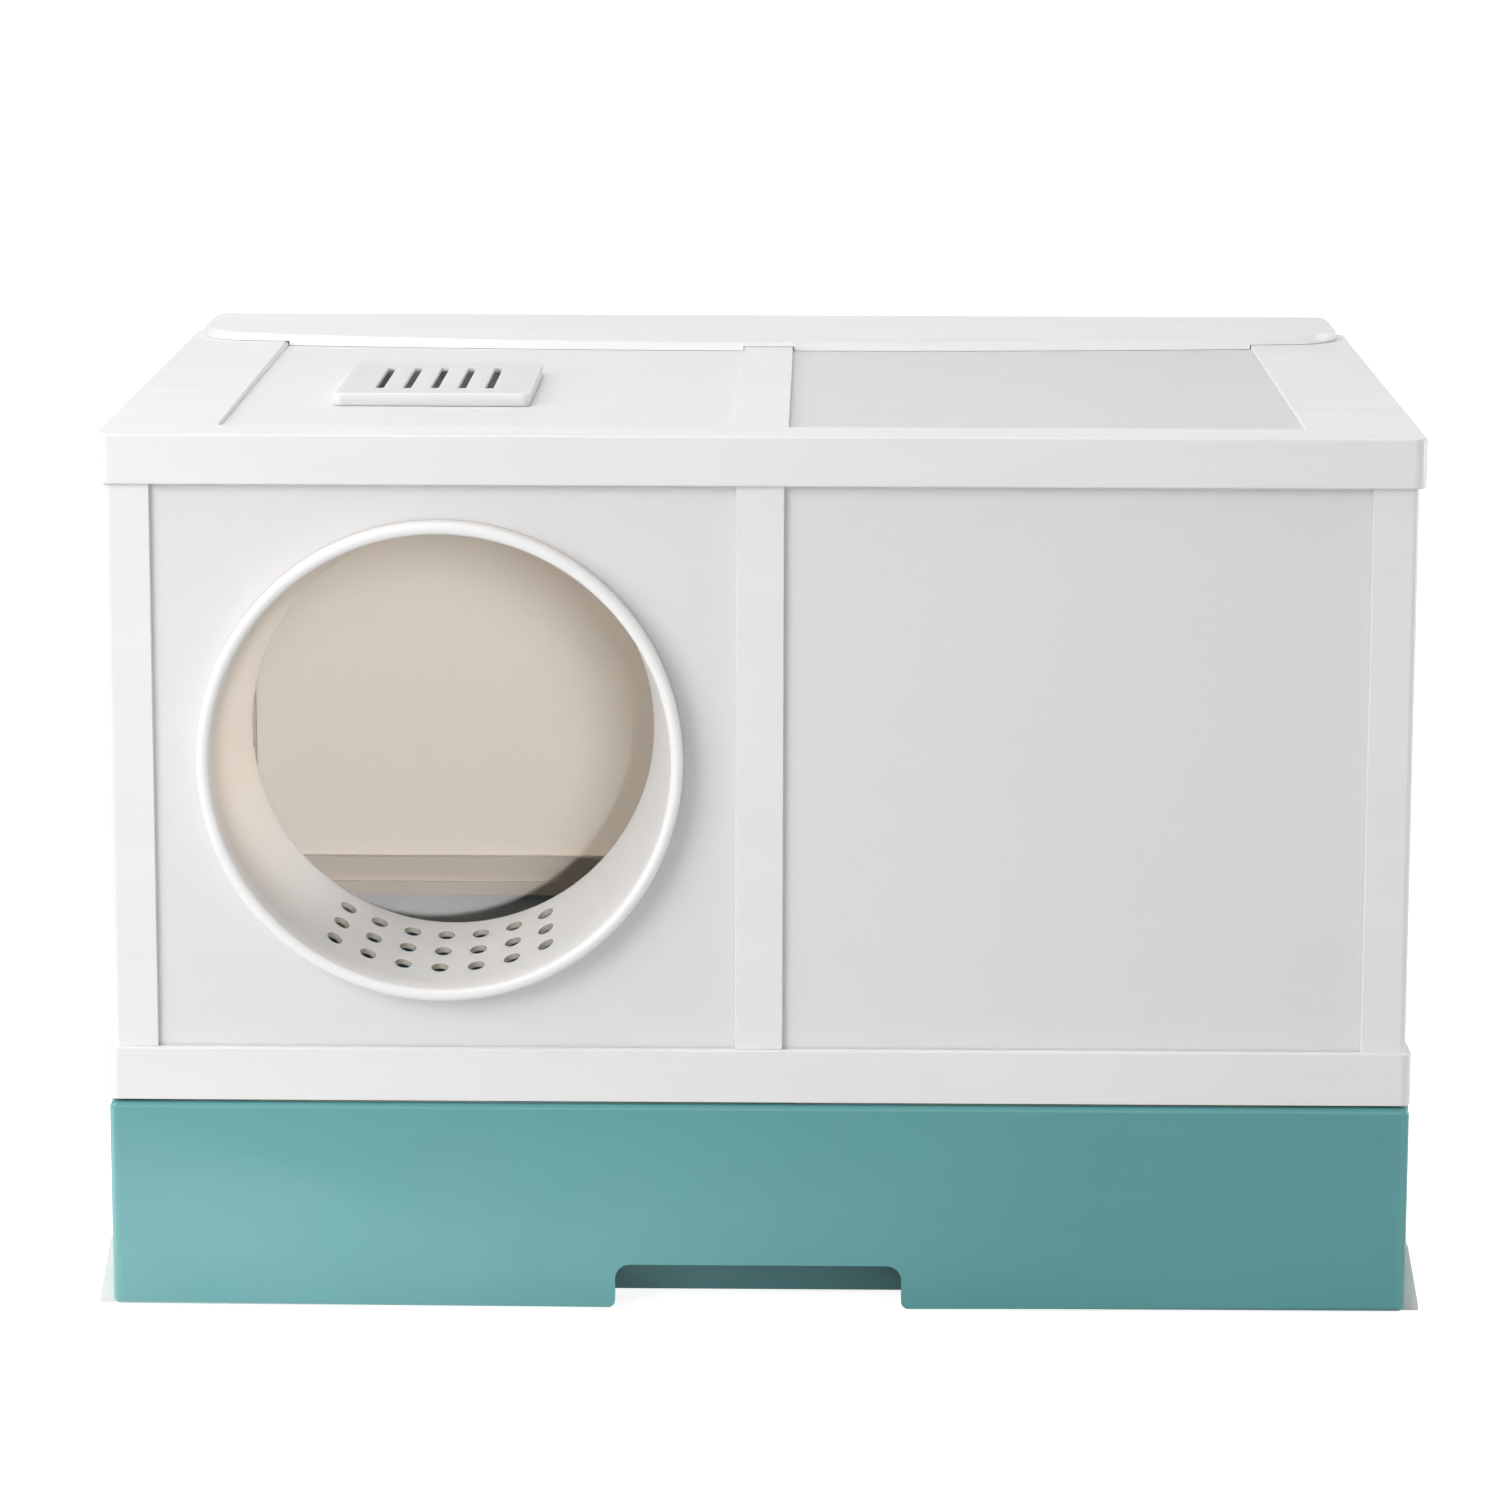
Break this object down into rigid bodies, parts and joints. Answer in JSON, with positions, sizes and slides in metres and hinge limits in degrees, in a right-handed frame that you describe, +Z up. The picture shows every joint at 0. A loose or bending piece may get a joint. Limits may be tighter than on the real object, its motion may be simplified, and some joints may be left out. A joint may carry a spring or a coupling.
{
  "type": "drawer litter box",
  "caption": "Enclosed cat litter box: framed cabin with a round perforated entry tunnel, hinged lid with a frosted window and a filtered vent, and a full-width pull-out litter drawer.",
  "frame": {"origin": "on the floor under the middle of the box", "axes": "+X to the right as seen from the front, +Y from the drawer's front to the hinged rear, +Z up"},
  "size_m": [0.592, 0.422, 0.4027],
  "materials": {
    "white_plastic": "satin moulded",
    "panel_sheet": "smooth satin sheet",
    "foot_plastic": "matt moulded",
    "frosted_sheet": "frosted translucent sheet",
    "teal_plastic": "satin moulded",
    "tray_plastic": "satin moulded",
    "filter_fleece": "matt fleece",
    "steel": "zinc plated"
  },
  "bodies": {
    "cabinet": {"base_frame": "white_plastic", "foot_front_left": "foot_plastic", "foot_front_right": "foot_plastic", "foot_rear_left": "foot_plastic", "foot_rear_right": "foot_plastic", "front_frame": "white_plastic", "front_panel_left": "panel_sheet", "front_panel_right": "panel_sheet", "left_frame": "white_plastic", "left_panel": "panel_sheet", "right_frame": "white_plastic", "right_panel": "panel_sheet", "rear_frame": "white_plastic", "rear_panel_left": "panel_sheet", "rear_panel_right": "panel_sheet", "panel_pegs": "white_plastic", "entry_tunnel": "white_plastic", "entry_lock_ring": "white_plastic", "hinge_pins": "steel"},
    "lid": {"lid_shell": "white_plastic", "lid_panel_left": "white_plastic", "lid_window_right": "frosted_sheet", "lid_rear_cap": "white_plastic", "cap_screws": "steel", "filter_tray": "white_plastic", "filter_pad": "filter_fleece"},
    "vent": {"vent_cover": "white_plastic"},
    "drawer": {"drawer_tray": "tray_plastic", "drawer_front": "teal_plastic", "drawer_screws": "steel"}
  },
  "joints": [
    {"name": "drawer_slide", "type": "slide", "parent": "cabinet", "child": "drawer", "axis": [0, -1, 0], "range_m": [0, 0.34]},
    {"name": "lid_hinge", "type": "hinge", "parent": "cabinet", "child": "lid", "pos_m": [0, 0.2074, 0.368], "axis": [-1, 0, 0], "range_deg": [0, 100]},
    {"name": "vent_cover_lift", "type": "slide", "parent": "lid", "child": "vent", "axis": [0, 0, 1], "range_m": [0, 0.03]}
  ]
}
